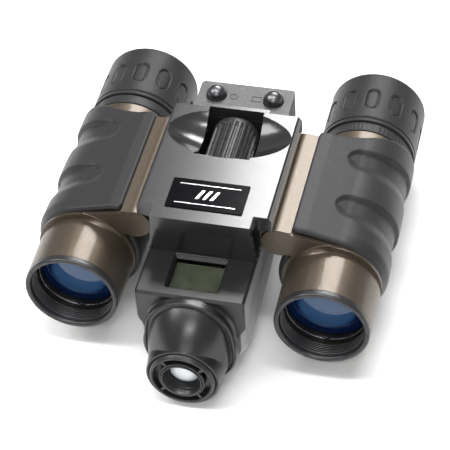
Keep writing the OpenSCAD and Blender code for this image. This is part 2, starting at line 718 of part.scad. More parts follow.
module left_eyecup_carrier() color(dark) place() side(-1) eyecup_carrier();
module right_eyecup_carrier() color(dark) place() side(1) eyecup_carrier();
module left_eyecup() color(rubber) place() side(-1) eyecup();
module right_eyecup() color(rubber) place() side(1) eyecup();
module side_panel_left() color(panel_grey) place() side_panel(-1);
module side_panel_right() color(panel_grey) place() side_panel(1);
module power_button() color(steel) place() button(-1);
module shutter_button() color(steel) place() button(1);

bridge_frame();
top_cover();
badge_plate();
rear_deck();
switch_board();
tact_switches();
power_button();
shutter_button();
camera_shell();
side_panel_left();
side_panel_right();
bottom_cover();
battery_door();
batteries();
battery_contacts();
tripod_bushing();
cover_screws();
lcd_window();
lcd_panel();
circuit_board();
image_sensor();
lens_hood();
lens_spider_ring();
camera_lens_barrel();
camera_lens();
usb_socket();
port_cover();
hinge_pins();
focus_wheel();
focus_shaft();
focus_carriage();
left_housing();
left_armour();
left_objective_ring();
left_objective_cell();
left_retaining_ring();
left_objective_lens();
left_prism_cage();
left_roof_prisms();
left_eyepiece_tube();
left_eyepiece_ring();
left_ocular_cell();
left_ocular_lenses();
left_eyecup_carrier();
left_eyecup();
right_housing();
right_armour();
right_objective_ring();
right_objective_cell();
right_retaining_ring();
right_objective_lens();
right_prism_cage();
right_roof_prisms();
right_eyepiece_tube();
right_diopter_ring();
right_ocular_cell();
right_ocular_lenses();
right_eyecup_carrier();
right_eyecup();
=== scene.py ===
"""Looks of the camera binoculars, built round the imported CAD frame.

Shapes are drawn in the optics frame, in millimetres: X to the right, Y from the objectives to the
eyepieces with Y = 0 at the front of the objective rings, and Z up from the optical axes. to_row()
carries a point into the row frame, in metres. Barrel pieces are drawn for the right-hand barrel
and mirrored for the left one.
"""
import json
import math

import bmesh
import bpy
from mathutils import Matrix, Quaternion, Vector
from mathutils.bvhtree import BVHTree


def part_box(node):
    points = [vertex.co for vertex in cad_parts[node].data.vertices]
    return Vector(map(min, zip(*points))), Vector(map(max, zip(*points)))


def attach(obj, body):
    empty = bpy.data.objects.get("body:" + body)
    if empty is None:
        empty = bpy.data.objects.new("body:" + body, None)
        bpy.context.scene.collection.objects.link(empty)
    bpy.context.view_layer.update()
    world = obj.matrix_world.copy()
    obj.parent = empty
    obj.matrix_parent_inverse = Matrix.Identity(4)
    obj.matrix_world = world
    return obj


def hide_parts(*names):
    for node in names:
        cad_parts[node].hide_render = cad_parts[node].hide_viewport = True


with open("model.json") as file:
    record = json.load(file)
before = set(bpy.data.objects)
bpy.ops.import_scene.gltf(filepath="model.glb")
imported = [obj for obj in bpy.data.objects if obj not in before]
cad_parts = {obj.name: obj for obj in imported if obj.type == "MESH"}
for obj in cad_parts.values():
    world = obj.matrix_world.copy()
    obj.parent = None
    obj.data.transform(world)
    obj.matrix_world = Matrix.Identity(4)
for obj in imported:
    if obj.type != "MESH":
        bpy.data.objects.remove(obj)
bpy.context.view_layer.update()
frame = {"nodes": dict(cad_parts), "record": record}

MM = 0.001
RING_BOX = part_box("right_objective_ring")
AXIS_X = (RING_BOX[0].x + RING_BOX[1].x) / 2 / MM
AXIS_Z = (RING_BOX[0].z + RING_BOX[1].z) / 2        # metres, in the row frame
FRONT_Y = RING_BOX[0].y                             # metres, in the row frame
LENS_X, LENS_Z = 0.0, -9.5                          # axis of the camera lens
SIDES = (("left", -1), ("right", 1))


def to_row(point):
    return Vector((point[0] * MM, FRONT_Y + point[1] * MM, AXIS_Z + point[2] * MM))


# ------------------------------------------------------------------ materials

MATERIALS = {}


def node(tree, kind, values=None, **settings):
    """A shader node with its settings, and its inputs set to a value or linked to a socket."""
    made = tree.nodes.new("ShaderNode" + kind)
    for key, value in settings.items():
        setattr(made, key, value)
    for key, value in (values or {}).items():
        if isinstance(value, bpy.types.NodeSocket):
            tree.links.new(value, made.inputs[key])
        else:
            made.inputs[key].default_value = value
    return made


class Surface:
    """A principled material, built up from procedural layers and kept in MATERIALS by its name."""

    def __init__(self, name, rough=0.5, metallic=0.0, **sockets):
        self.material = bpy.data.materials.new(name)
        MATERIALS[name] = self.material
        self.material.use_nodes = True
        self.tree = self.material.node_tree
        self.shader = self.tree.nodes["Principled BSDF"]
        self.shader.inputs["Roughness"].default_value = rough
        self.shader.inputs["Metallic"].default_value = metallic
        for key, value in sockets.items():
            self.shader.inputs[key.replace("_", " ")].default_value = value
        self.place = node(self.tree, "TexCoord").outputs["Object"]
        self.normal = None

    def grain(self, size_mm, detail=2.0, stretch=None):
        """Noise whose blobs are about size_mm across, drawn out along an axis by stretch."""
        place = self.place
        if stretch:
            place = node(self.tree, "Mapping", {"Vector": place, "Scale": stretch}).outputs[0]
        values = {"Vector": place, "Scale": 1 / (size_mm * MM), "Detail": detail}
        return node(self.tree, "TexNoise", values).outputs["Fac"]

    def flakes(self, size_mm):
        """A random level for each cell of about size_mm."""
        values = {"Vector": self.place, "Scale": 1 / (size_mm * MM)}
        cells = node(self.tree, "TexVoronoi", values).outputs["Color"]
        return node(self.tree, "SeparateColor", {"Color": cells}).outputs[0]

    def span(self, value, low, high, start=0.35, end=0.65):
        """Carries the span from start to end over to the span from low to high."""
        values = {"Value": value, "From Min": start, "From Max": end, "To Min": low, "To Max": high}
        return node(self.tree, "MapRange", values).outputs[0]

    def tint(self, value, dark, light, start=0.35, end=0.65):
        """A colour between dark and light, by how far the value has come from start to end."""
        factor = self.span(value, 0.0, 1.0, start, end)
        mix = node(self.tree, "Mix", data_type="RGBA")
        self.tree.links.new(factor, mix.inputs[0])
        mix.inputs[6].default_value = (*dark, 1)
        mix.inputs[7].default_value = (*light, 1)
        return mix.outputs[2]

    def color(self, socket):
        self.tree.links.new(socket, self.shader.inputs["Base Color"])

    def rough(self, value, low, high):
        self.tree.links.new(self.span(value, low, high), self.shader.inputs["Roughness"])

    def bump(self, height, depth_mm):
        """Adds relief on top of the relief that the material has so far."""
        values = {"Height": height, "Distance": depth_mm * MM, "Strength": 1.0}
        if self.normal:
            values["Normal"] = self.normal
        self.normal = node(self.tree, "Bump", values).outputs[0]
        self.tree.links.new(self.normal, self.shader.inputs["Normal"])


def bronze_paint():
    s = Surface("bronze_paint", metallic=0.8, Coat_Weight=0.3, Coat_Roughness=0.14)
    s.color(s.tint(s.flakes(0.1), (0.078, 0.061, 0.044), (0.135, 0.107, 0.079), 0.1, 1.0))
    s.rough(s.grain(0.6), 0.42, 0.48)
    s.bump(s.grain(0.12), 0.004)


def rubber(name, dark, light, rough_low, rough_high, grain_mm):
    s = Surface(name, Specular_IOR_Level=0.25, Sheen_Weight=0.06, Sheen_Roughness=0.45)
    s.color(s.tint(s.grain(1.4, 4), dark, light))
    s.rough(s.grain(1.2, 4), rough_low, rough_high)
    s.bump(s.grain(grain_mm, 3), 0.02)
    s.bump(s.grain(0.9, 2), 0.012)


def satin_plastic(name, dark, light, rough_low, rough_high, grain_mm, depth_mm):
    s = Surface(name, Coat_Weight=0.08, Coat_Roughness=0.3)
    speckle = s.grain(grain_mm, 3)
    s.color(s.tint(speckle, dark, light))
    s.rough(s.grain(1.5, 4), rough_low, rough_high)
    s.bump(speckle, depth_mm)


def gloss_plastic(name, dark, light, rough_low, rough_high, coat, specular):
    s = Surface(name, Coat_Weight=coat, Coat_Roughness=0.14, Specular_IOR_Level=specular)
    s.color(s.tint(s.grain(6, 3), dark, light))
    s.rough(s.grain(2.2, 4), rough_low, rough_high)
    s.bump(s.grain(0.5, 2), 0.0015)


def polished_metal(name, dark, light, rough_low, rough_high):
    s = Surface(name, metallic=1.0)
    s.color(s.tint(s.grain(1.8, 4), dark, light))
    brushed = s.grain(0.25, 4, (1.0, 0.12, 1.0))
    s.rough(brushed, rough_low, rough_high)
    s.bump(brushed, 0.003)


def black_metal():
    s = Surface("black_metal", metallic=0.35, Coat_Weight=0.15, Coat_Roughness=0.2)
    turned = s.grain(0.3, 3, (0.15, 2.0, 0.15))
    s.color(s.tint(turned, (0.012, 0.012, 0.013), (0.032, 0.032, 0.034)))
    s.rough(s.grain(0.9, 4), 0.3, 0.46)
    s.bump(turned, 0.004)


def coated_glass(name, centre, inner_mm, outer_mm, painted_reflection_color, outer_color):
    """Lens glass whose tint comes from its coating, with a painted reflection that makes the middle of
    the lens lighter and fades out towards its edge.
    """
    s = Surface(name, rough=0.03, IOR=1.45, Coat_Weight=0.25, Coat_Roughness=0.02)
    from_centre = {"Vector": s.place, "Location": tuple(-to_row(centre))}
    local = node(s.tree, "Mapping", from_centre).outputs[0]
    flat = node(s.tree, "VectorMath", {0: local, 1: (1, 0, 1)}, operation="MULTIPLY").outputs[0]
    radius = node(s.tree, "VectorMath", {0: flat}, operation="LENGTH").outputs["Value"]
    # painted reflection: the lighter colour in the middle of the lens, fading out to the darker glass
    # towards the edge
    s.color(s.tint(radius, painted_reflection_color, outer_color, inner_mm * MM, outer_mm * MM))
    s.rough(s.grain(3, 2), 0.02, 0.05)
    s.bump(s.grain(9, 1), 0.004)


def display_glass():
    s = Surface("lcd_glass", rough=0.05, IOR=1.45, Transmission_Weight=0.75)
    s.color(s.tint(s.grain(4, 2), (0.13, 0.15, 0.1), (0.19, 0.21, 0.15)))
    s.rough(s.grain(2, 3), 0.03, 0.12)


def display_panel():
    s = Surface("lcd_panel", rough=0.35)
    segments = node(s.tree, "TexChecker", {"Vector": s.place, "Scale": 1 / (0.35 * MM)})
    s.color(s.tint(segments.outputs["Fac"], (0.04, 0.05, 0.028), (0.05, 0.062, 0.035), 0, 1))
    s.bump(s.grain(0.5, 2), 0.004)


def circuit_board():
    s = Surface("board_green", rough=0.4, Coat_Weight=0.5)
    tracks = node(s.tree, "TexBrick", {"Vector": s.place, "Scale": 1 / (5 * MM)}).outputs["Fac"]
    s.color(s.tint(tracks, (0.02, 0.11, 0.05), (0.05, 0.22, 0.1), 0, 1))
    s.bump(tracks, 0.02)


def battery_case():
    s = Surface("battery_case", metallic=0.6, Coat_Weight=0.5)
    bands = s.grain(9, 2, (0.1, 1.0, 0.1))
    s.color(s.tint(bands, (0.4, 0.26, 0.08), (0.05, 0.05, 0.055), 0.45, 0.5))
    s.rough(s.grain(1, 3), 0.2, 0.35)


def prism_glass():
    s = Surface("prism_glass", rough=0.02, IOR=1.57, Transmission_Weight=0.9)
    s.color(s.tint(s.grain(6, 2), (0.8, 0.88, 0.9), (0.9, 0.95, 0.96)))


bronze_paint()
rubber("armour_rubber", (0.019, 0.019, 0.02), (0.022, 0.022, 0.023), 0.43, 0.48, 0.16)
rubber("eyecup_rubber", (0.015, 0.015, 0.016), (0.019, 0.019, 0.02), 0.42, 0.48, 0.2)
rubber("wheel_rubber", (0.016, 0.016, 0.017), (0.024, 0.024, 0.025), 0.26, 0.34, 0.2)
satin_plastic("dark_plastic", (0.009, 0.009, 0.01), (0.012, 0.012, 0.013), 0.28, 0.33, 0.3, 0.005)
satin_plastic("deck_grey", (0.045, 0.045, 0.047), (0.085, 0.085, 0.088), 0.42, 0.52, 0.3, 0.02)
satin_plastic("panel_silver", (0.3, 0.3, 0.31), (0.37, 0.37, 0.38), 0.3, 0.42, 0.18, 0.014)
gloss_plastic("gloss_cover", (0.012, 0.012, 0.013), (0.014, 0.014, 0.015), 0.19, 0.22, 0.5, 0.5)
gloss_plastic("badge_gloss", (0.003, 0.003, 0.004), (0.005, 0.005, 0.006), 0.12, 0.18, 0.0, 0.02)
polished_metal("button_chrome", (0.1, 0.1, 0.105), (0.15, 0.15, 0.155), 0.28, 0.36)
polished_metal("ring_metal", (0.1, 0.1, 0.105), (0.18, 0.18, 0.185), 0.25, 0.35)
polished_metal("bright_metal", (0.5, 0.5, 0.51), (0.72, 0.72, 0.73), 0.18, 0.32)
polished_metal("brass_insert", (0.5, 0.37, 0.15), (0.72, 0.56, 0.27), 0.2, 0.34)
black_metal()
circuit_board()
battery_case()
prism_glass()
display_glass()
display_panel()
# The first colour given to each lens glass is the painted reflection in the middle of the lens.
for side, sign in SIDES:
    axis = (sign * AXIS_X, 0, 0)
    coated_glass(side + "_objective_glass", axis, 7.2, 8.6, (0.024, 0.066, 0.15), (0.003, 0.011, 0.045))
    coated_glass(side + "_ocular_glass", axis, 3.0, 8.0, (0.05, 0.06, 0.09), (0.01, 0.012, 0.02))
coated_glass("camera_glass", (LENS_X, 0, LENS_Z), 2.2, 3.9, (0.75, 0.78, 0.8), (0.35, 0.37, 0.4))
MATERIALS["coated_glass"] = MATERIALS["camera_glass"]


# ------------------------------------------------------------------ pieces

NODE_MERGE = 2e-6                   # metres, for the corners of CAD meshes
DRAWN_MERGE = 1e-5                  # millimetres, for points that meet on a turning axis


def added(name, data):
    """A new object in the scene."""
    made = bpy.data.objects.new(name, data)
    bpy.context.scene.collection.objects.link(made)
    return made


def finish_piece(name, bm, body, slot, stands_for=(), look=None, bevel=0.0, sharp=38, even=False):
    """Turns a mesh in the row frame into a piece that rides on a CAD body.

    look names a material that differs from the slot's own, bevel is in millimetres, and sharp is
    the angle in degrees from which an edge stays crisp.
    """
    mesh = bpy.data.meshes.new(name)
    bm.to_mesh(mesh)
    bm.free()
    mesh.shade_smooth()
    mesh.set_sharp_from_angle(angle=math.radians(sharp))
    made = added(name, mesh)
    if bevel:
        rounding = made.modifiers.new("rounding", "BEVEL")
        rounding.width = bevel * MM
        rounding.segments = 3
        rounding.limit_method = "ANGLE"
        rounding.angle_limit = math.radians(30)
        rounding.harden_normals = True
    if even:
        made.modifiers.new("even shading", "WEIGHTED_NORMAL").keep_sharp = True
    mesh.materials.append(MATERIALS[look or slot])
    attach(made, body)
    if stands_for:
        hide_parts(*stands_for)


def drawn(name, draw, body, slot, stands_for=(), mirror=False, **settings):
    """A piece from a function that draws it in optics millimetres."""
    bm = bmesh.new()
    draw(bm)
    for vert in bm.verts:
        x, y, z = vert.co
        vert.co = to_row((-x if mirror else x, y, z))
    bmesh.ops.recalc_face_normals(bm, faces=bm.faces)
    finish_piece(name, bm, body, slot, stands_for, **settings)


def stand_in(node_name, draw, body, slot, **settings):
    """A drawn piece that takes the place of a CAD node."""
    drawn(node_name + "_piece", draw, body, slot, [node_name], **settings)


def both_sides(name, draw, body, slot, make=stand_in, **settings):
    """Makes the piece of the right-hand barrel, and its mirror image for the left one."""
    for side, sign in SIDES:
        make(side + "_" + name, draw, side + "_" + body, slot, mirror=sign < 0, **settings)


def node_mesh(node_name):
    bm = bmesh.new()
    bm.from_mesh(frame["nodes"][node_name].data)
    return bm


def node_surface(node_name):
    """Surface of a CAD node, for rays that find where fine detail lies on it."""
    bm = node_mesh(node_name)
    surface = BVHTree.FromBMesh(bm)
    bm.free()
    return surface


def refined(node_name, body, slot, bevel):
    """A copy of a CAD node with its flat faces joined and its edges softened."""
    bm = node_mesh(node_name)
    bmesh.ops.remove_doubles(bm, verts=bm.verts, dist=NODE_MERGE)
    bmesh.ops.dissolve_degenerate(bm, edges=bm.edges, dist=NODE_MERGE)
    bmesh.ops.dissolve_limit(bm, angle_limit=math.radians(0.6), verts=bm.verts, edges=bm.edges)
    finish_piece(node_name + "_piece", bm, body, slot, [node_name], bevel=bevel, even=True)


# ------------------------------------------------------------------ curves and outlines


def turns(count):
    """Angles at even steps round a circle."""
    return [2 * math.pi * i / count for i in range(count)]


def curve(start, bend, end, t):
    """Point at t of a curve from start to end that leans towards bend."""
    return start * (1 - t) ** 2 + bend * 2 * t * (1 - t) + end * t ** 2


def quarter(centre, reach, steps):
    """Quarter of an oval, from just above the side of its centre up to its top."""
    angles = [math.radians(90 * i / steps) for i in range(1, steps + 1)]
    return [(centre[0] + reach[0] * math.cos(a), centre[1] + reach[1] * math.sin(a)) for a in angles]


def corner(before, at, after, radius, steps):
    """A corner softened by a curve that starts and ends about radius away from it."""
    at = Vector(at)
    arms = [Vector(p) - at for p in (before, after)]
    ends = [at + arm * min(0.45, radius / max(arm.length, 1e-6)) for arm in arms]
    return [curve(ends[0], at, ends[1], i / steps) for i in range(steps + 1)]


def rounded(corners, radius=0.3, steps=4):
    """A closed outline with softened corners. A corner may carry its own radius."""
    outline = []
    for i, c in enumerate(corners):
        own_radius = c[2] if len(c) > 2 else radius
        before, after = corners[i - 1][:2], corners[(i + 1) % len(corners)][:2]
        outline += corner(before, c[:2], after, own_radius, steps)
    return outline


def smooth(value, start, end):
    """0 before start, 1 after end, and an even S-curve between them."""
    t = min(1.0, max(0.0, (value - start) / (end - start)))
    return t * t * (3 - 2 * t)


def edge_drop(distance, radius):
    """How far a rounded edge lies below the surface at a distance in from that edge."""
    if distance >= radius:
        return 0.0
    return radius - math.sqrt(max(0.0, radius ** 2 - (radius - distance) ** 2))


# ------------------------------------------------------------------ solids from outlines


def stitch(bm, rows, wrap_rows=False, wrap_columns=False):
    """Quads between rows of vertices, closed round in either direction."""
    row_pairs = zip(rows, rows[1:] + rows[:1]) if wrap_rows else zip(rows, rows[1:])
    for a, b in row_pairs:
        count = len(a)
        for j in range(count if wrap_columns else count - 1):
            k = (j + 1) % count
            bm.faces.new((a[j], a[k], b[k], b[j]))


def lathe(bm, outline, x, z, steps=128, sculpt=None):
    """Turns a closed outline of (radius, y) round an axis. sculpt changes a radius by y and angle."""
    rows = []
    for a in turns(steps):
        shaped = [(sculpt(r, y, a) if sculpt else r, y) for r, y in outline]
        rows.append([bm.verts.new((x + r * math.cos(a), y, z + r * math.sin(a))) for r, y in shaped])
    stitch(bm, rows, wrap_rows=True, wrap_columns=True)
    bmesh.ops.remove_doubles(bm, verts=bm.verts, dist=DRAWN_MERGE)


def lathe_up(bm, outline, x, y, closed=True):
    """Turns an outline of (radius, z) round an upright axis."""
    rows = []
    for a in turns(72):
        rows.append([bm.verts.new((x + r * math.cos(a), y + r * math.sin(a), z)) for r, z in outline])
    stitch(bm, rows, wrap_rows=True, wrap_columns=closed)
    bmesh.ops.remove_doubles(bm, verts=bm.verts, dist=DRAWN_MERGE)


def prism(bm, outline, low, high, axis="z"):
    """A flat outline pushed out along z, or along y for an outline in X and Z."""
    def place(p, h):
        return (p[0], p[1], h) if axis == "z" else (p[0], h, p[1])

    rows = [[bm.verts.new(place(p, h)) for p in outline] for h in (low, high)]
    stitch(bm, rows, wrap_columns=True)
    for row in rows:
        bm.faces.new(row)


def brick(bm, x0, x1, y0, y1, z0, z1):
    prism(bm, [(x0, y0), (x1, y0), (x1, y1), (x0, y1)], z0, z1)


def bead(bm, path, radius, closed=False):
    """A thin round bead along a path of points."""
    rows = []
    count = len(path)
    for i, at in enumerate(path):
        before = path[i - 1] if closed or i else at
        after = path[(i + 1) % count] if closed or i < count - 1 else at
        along = (Vector(after) - Vector(before)).normalized()
        if rows:
            side = (side - along * side.dot(along)).normalized()
        else:
            side = along.orthogonal().normalized()
        up = along.cross(side)
        rows.append([bm.verts.new(Vector(at) + (side * math.cos(a) + up * math.sin(a)) * radius)
                     for a in turns(10)])
    stitch(bm, rows, wrap_rows=closed, wrap_columns=True)
    if not closed:
        for row in (rows[0], rows[-1]):
            bm.faces.new(row)


# ------------------------------------------------------------------ barrel rings and lenses

THREADS = 6                         # dark steps inside the mouth of the objective ring
THREAD_PITCH = 0.58
DIOPTER_RIBS = 72


def objective_ring(bm):
    """Front ring of a barrel, with the stepped dark threads inside its mouth."""
    threads = []
    for i in range(THREADS):
        y = 1.7 + i * THREAD_PITCH
        r = 11.78 - i * 0.06
        threads += [(r, y, 0.1), (r - 0.22, y + 0.12, 0.08), (r - 0.22, y + 0.36, 0.08)]
    outline = [(11.8, 0.55, 0.25), (12.2, 0.02, 0.3), (13.05, 0.0, 0.35), (13.38, 0.42, 0.3),
               (13.38, 2, 0.1), (12.38, 2.02, 0.05), (12.38, 5, 0.05), (11.45, 5, 0.05)]
    lathe(bm, rounded(outline + threads[::-1], steps=3), AXIS_X, 0, 160)


def retaining_ring(bm):
    """Ring that holds the objective lens, with two notches for a spanner."""
    outline = [(10.9, 7.2), (11.15, 6.72), (11.6, 6.72), (11.6, 7.7), (10.9, 7.7)]

    def notches(r, y, a):
        in_notch = abs(math.remainder(a - math.pi / 2, math.pi)) < 0.06
        return max(r, 11.3) if in_notch and y < 7.3 else r

    lathe(bm, rounded(outline, 0.12, 3), AXIS_X, 0, 160, notches)


def lens_outline(front, edge, radius, bulge, back_bulge):
    """Half section of a lens, from its axis at the front, round its edge, to its axis at the back."""
    count = 20
    face = [(radius * i / count, front + bulge * (i / count) ** 2) for i in range(count)]
    back = [(r, front + bulge + edge + back_bulge * (1 - (r / radius) ** 2)) for r, _ in face[::-1]]
    return face + [(radius, front + bulge + 0.05), (radius, front + bulge + edge - 0.05)] + back


def objective_lens(bm):
    lathe(bm, lens_outline(7.85, 2.2, 11.6, 1.35, 0.35), AXIS_X, 0)


def eyepiece_ring(bm):
    lathe(bm, rounded([(12.45, 67), (13.9, 67), (13.9, 70.4), (12.45, 70.4)]), AXIS_X, 0, 160)


def diopter_ring(bm):
    """Ring with fine grip ribs and one raised index bar."""
    outline = rounded([(12.45, 67), (13.88, 67), (13.88, 67.5, 0.1), (13.88, 69.9, 0.1),
                       (13.88, 70.4), (12.45, 70.4)], 0.25)

    def ribs(r, y, a):
        if r < 13.5 or not 67.4 < y < 70.0:
            return r
        on_index = abs(math.remainder(a - math.radians(75), 2 * math.pi)) < 0.05
        return r if on_index else r - 0.07 * (0.5 + 0.5 * math.cos(a * DIOPTER_RIBS)) - 0.03

    lathe(bm, outline, AXIS_X, 0, 6 * DIOPTER_RIBS, ribs)


# ------------------------------------------------------------------ eyecups

EYECUP_R = 14.28
WALL_Y0, WALL_Y1, WALL_STEP = 73.1, 91.4, 0.22      # the outer wall is split finely for its windows
WINDOW_COUNT = 12
WINDOW_HALF = 2.05
WINDOW_Y0, WINDOW_Y1 = 78.55, 83.25


def eyecup_outline():
    """Closed outline of the eyecup as (radius, y), from its front end, over its rim, to its inside."""
    front = rounded([(12.9, 74), (12.9, 70.9), (EYECUP_R, 70.9), (EYECUP_R, 74)], 0.35)[5:-5]
    groove = [(EYECUP_R, 72.0), (EYECUP_R - 0.08, 72.12), (EYECUP_R - 0.42, 72.3),
              (EYECUP_R - 0.42, 72.6), (EYECUP_R - 0.08, 72.8), (EYECUP_R, 72.92)]
    wall_steps = int((WALL_Y1 - WALL_Y0) / WALL_STEP)
    wall = [(EYECUP_R, WALL_Y0 + WALL_STEP * i) for i in range(wall_steps + 1)]
    rim = quarter((EYECUP_R - 1.35, 91.6), (1.35, 1.38), 10)
    inside = rounded([(12.7, 92.98), (12.25, 92.6), (11.8, 89.5), (9.7, 86.5), (9.62, 85.35),
                      (12.9, 85.35), (12.9, 80)], 0.4)[2:-3]
    return front + groove + wall + rim + inside


def window_depth(a, y):
    """Depth of the grip windows at an angle round the cup: a groove round a low pad."""
    pitch = 2 * math.pi / WINDOW_COUNT
    across = abs(math.remainder(a - math.radians(90), pitch)) * EYECUP_R
    along = max(WINDOW_Y0 - y, 0.0, y - WINDOW_Y1)
    inside = WINDOW_HALF - math.hypot(across, along)
    return 0.62 * smooth(inside, -0.05, 0.3) - 0.34 * smooth(inside, 0.5, 0.85)


def eyecup(bm):
    def windows(r, y, a):
        return r - window_depth(a, y) if r > EYECUP_R - 0.01 and 75 < y < 88 else r

    lathe(bm, eyecup_outline(), AXIS_X, 0, 360, windows)


# ------------------------------------------------------------------ armour and shoulders

ARMOUR_X, ARMOUR_Z = 35.3, 1.2      # centre of the armour's round part
ARMOUR_R = 15.5
ARMOUR_FRONT_Y = 17.5
ARMOUR_BACK_Y = 58.4
ARMOUR_FLAT = ((24.15, 19.45), (27.9, 19.2), (37.3, 16.62))
ROUND_START, ROUND_END = 82.0, -211.0               # degrees, on from the flat part
ARC_R = 15.4                        # turns an angle round the armour into a length along it
FINGER_HOLLOWS = ((50.6, 4.2), (31.5, 2.4))         # y at the top, and how far it drifts back below
HOLLOW_DEPTH = 1.35
RIM_STEPS = (0, 0.12, 0.3, 0.55, 0.9)               # fine rows of points in from either end
BODY_ROWS = 110
CORE_R = 14.1                       # the housing's shoulder lies just under the rubber
TAIL_R = 13.95                      # the housing's round tail behind the shoulder
TAIL_Y = 55.5
SHOULDER_Y = 16.5                   # front face of the housing's shoulder
TUBE_R = 13.6


def armour_section():
    """Points across the armour from its inner top edge over the barrel to its inner lower edge,
    each with its outward normal, its angle round the barrel and whether it is on the flat part."""
    points = []
    last_x, last_z = ARMOUR_FLAT[-1]
    for (x0, z0), (x1, z1), steps in zip(ARMOUR_FLAT, ARMOUR_FLAT[1:], (12, 40)):
        run = math.hypot(x1 - x0, z1 - z0)
        normal = ((z0 - z1) / run, (x1 - x0) / run)
        for i in range(steps):
            x, z = x0 + (x1 - x0) * i / steps, z0 + (z1 - z0) * i / steps
            beyond = math.hypot(last_x - x, last_z - z)
            points.append(((x, z), normal, ROUND_START + math.degrees(beyond / ARC_R), True))
    steps = 170
    for i in range(steps + 1):
        angle = ROUND_START + (ROUND_END - ROUND_START) * i / steps
        normal = (math.cos(math.radians(angle)), math.sin(math.radians(angle)))
        points.append(((ARMOUR_X, ARMOUR_Z), normal, angle, False))
    return points


def round_radius(angle):
    """Radius of the armour's round part: a little flatter on the outer side."""
    outer_side = math.exp(-(((angle + 20) / 55) ** 2))
    return 15.55 - 0.5 * outer_side - 0.15 * smooth(-angle, 120, 180)


def finger_hollow(angle, y, y_top, drift):
    """Depth factor of one finger hollow: a crisp round head near the top that fades out below."""
    reach = math.radians(97 - angle) * ARC_R
    centre = y_top + drift * smooth(reach, 0, 30)
    if y > centre:
        width, steepness = 4.7, 0.22
    else:
        width = 4.0 + 2.8 * smooth(reach, 2, 12)
        steepness = 0.55 + 0.4 * smooth(reach, 1, 8)
    inside = 1 - math.hypot((y - centre) / width, max(0.0, 1 - reach / 4.4))
    return smooth(inside, 0, steepness) * smooth(angle, -95, -35) * (0.5 + 0.5 * smooth(reach, 0, 8))


def hollow_depth(angle, y):
    return sum(HOLLOW_DEPTH * finger_hollow(angle, y, y_top, drift) for y_top, drift in FINGER_HOLLOWS)


def core_radius(angle, y):
    """How far the housing reaches under the armour: its shoulder, and its round tail behind that."""
    if y < TAIL_Y:
        return CORE_R
    shift_x, shift_z = AXIS_X - ARMOUR_X, -ARMOUR_Z
    a = math.radians(angle)
    along = shift_x * math.cos(a) + shift_z * math.sin(a)
    return max(CORE_R, along + math.sqrt(TAIL_R ** 2 - shift_x ** 2 - shift_z ** 2 + along ** 2))


def armour_radius(angle, y):
    """Radius of the armour's round part with its thin front, its slow wave and its hollows."""
    radius = round_radius(angle)
    outer = smooth(-abs(angle + 20), -105, -60)
    radius -= outer * 1.1 * (1 - smooth(y, 17.15, 21.5))
    radius += outer * 0.12 * math.cos((y - 41.5) / 20.5 * 2 * math.pi)
    return max(radius - hollow_depth(angle, y), core_radius(angle, y) + 0.08)


def armour_ends(x, side_edge):
    """Front and back y of the armour: its corners are cut and its outer back edge slants."""
    cut = edge_drop(side_edge, 1.7)
    back = ARMOUR_BACK_Y + 0.445 * max(0.0, x - 30.0) - cut - 0.5 * smooth(x, 30, 34)
    return ARMOUR_FRONT_Y + cut, back


def armour(bm):
    """Rubber shell: an outer skin with the hollows, an inner skin and the edges that join them."""
    section = armour_section()
    track = [place if flat else (place[0] + nx * ARMOUR_R, place[1] + nz * ARMOUR_R)
             for place, (nx, nz), _, flat in section]
    lengths = [0.0]
    for a, b in zip(track, track[1:]):
        lengths.append(lengths[-1] + math.hypot(b[0] - a[0], b[1] - a[1]))
    outer_rows, inner_rows = [], []
    for ((x, z), (nx, nz), angle, flat), (track_x, _), length in zip(section, track, lengths):
        side_edge = min(length, lengths[-1] - length)
        front, back = armour_ends(track_x, side_edge)
        body = back - front - 2 * RIM_STEPS[-1]
        ys = [front + r for r in RIM_STEPS[:-1]]
        ys += [front + RIM_STEPS[-1] + body * i / BODY_ROWS for i in range(BODY_ROWS + 1)]
        ys += [back - r for r in RIM_STEPS[-2::-1]]
        outer, inner = [], []
        for y in ys:
            drop = max(edge_drop(min(y - front, back - y), 0.85), edge_drop(side_edge, 0.6))
            if flat:
                top, low = -min(1.2, drop + hollow_depth(angle, y)), -1.3
            else:
                top, low = max(armour_radius(angle, y) - drop, CORE_R + 0.02), CORE_R - 0.05
            outer.append(bm.verts.new((x + nx * top, y, z + nz * top)))
            inner.append(bm.verts.new((x + nx * low, y, z + nz * low)))
        outer_rows.append(outer)
        inner_rows.append(inner)
    stitch(bm, outer_rows)
    stitch(bm, inner_rows)
    for end in (0, -1):
        stitch(bm, [outer_rows[end], inner_rows[end]])
        stitch(bm, [[row[end] for row in rows] for rows in (outer_rows, inner_rows)])


def shoulder_fillet(bm):
    """Hollow fillet that runs from the tube out to a fine edge on the shoulder's front face."""
    axis = Vector((AXIS_X, 0))
    start, bend, end = Vector((24.6, 8.6)), Vector((28.4, 14.6)), Vector((35.2, 15.9))
    rows, edge = [], []
    for i in range(33):
        t = i / 32
        rim = curve(start, bend, end, t)
        away = rim - axis
        reach = max(0.05, away.length - TUBE_R)
        edge.append((rim.x, SHOULDER_Y - 0.02, rim.y))
        row = []
        for j in range(9):
            turn = math.pi / 2 * j / 8
            r = TUBE_R - 0.03 + reach * (1 - math.sin(turn))
            y = SHOULDER_Y - 0.02 - reach * 1.3 * (1 - math.cos(turn)) * (1 - smooth(t, 0.45, 1.0))
            spot = axis + away.normalized() * r
            row.append(bm.verts.new((spot.x, y, spot.y)))
        rows.append(row)
    stitch(bm, rows)
    bead(bm, edge, 0.2)


